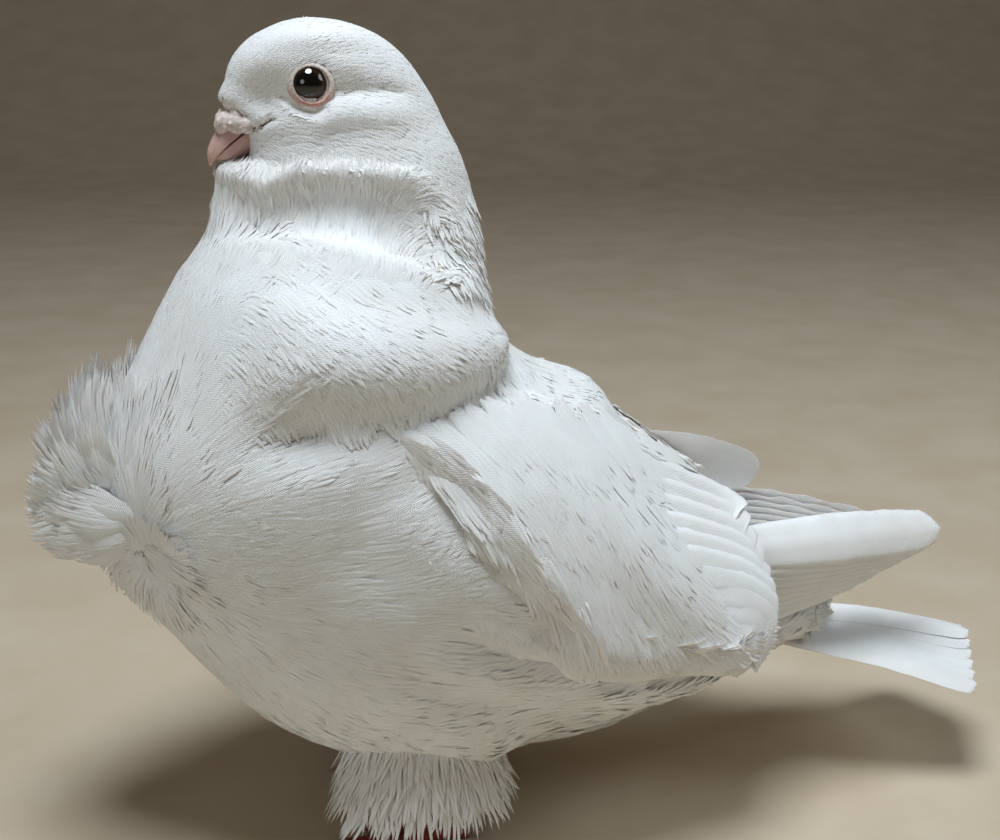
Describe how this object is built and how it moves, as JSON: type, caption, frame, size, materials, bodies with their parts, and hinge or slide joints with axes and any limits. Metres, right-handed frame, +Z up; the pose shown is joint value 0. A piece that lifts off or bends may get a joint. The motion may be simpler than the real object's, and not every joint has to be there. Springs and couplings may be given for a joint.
{
  "type": "chinese owl pigeon",
  "caption": "White fancy pigeon standing still, life size: upturned neck ruff, full curled breast frill, short pink bill, dark eyes, folded wings, closed tail and feathered thighs",
  "frame": {"origin": "bottom centre of the bird's bounding box, on the floor under it", "axes": "+Z up, the bird looks towards -X and its tail points to +X, its left side is towards -Y"},
  "size_m": [0.2678, 0.1116, 0.215],
  "materials": {
    "plumage": "soft white feathers",
    "bill_horn": "smooth pink horn",
    "cere_skin": "chalky pale skin",
    "eye": "wet and dark",
    "leg_scales": "fine red scales",
    "claw_horn": "smooth pale horn"
  },
  "bodies": {
    "root": {"head": "plumage", "neck": "plumage", "breast": "plumage", "torso": "plumage", "tail": "plumage", "wing_left": "plumage", "wing_right": "plumage", "thigh_left": "plumage", "thigh_right": "plumage", "bill_upper": "bill_horn", "bill_lower": "bill_horn", "cere": "cere_skin", "eye_left": "eye", "eye_right": "eye", "leg_left": "leg_scales", "leg_right": "leg_scales", "claw_inner_left": "claw_horn", "claw_middle_left": "claw_horn", "claw_outer_left": "claw_horn", "claw_hind_left": "claw_horn", "claw_inner_right": "claw_horn", "claw_middle_right": "claw_horn", "claw_outer_right": "claw_horn", "claw_hind_right": "claw_horn"}
  },
  "joints": []
}
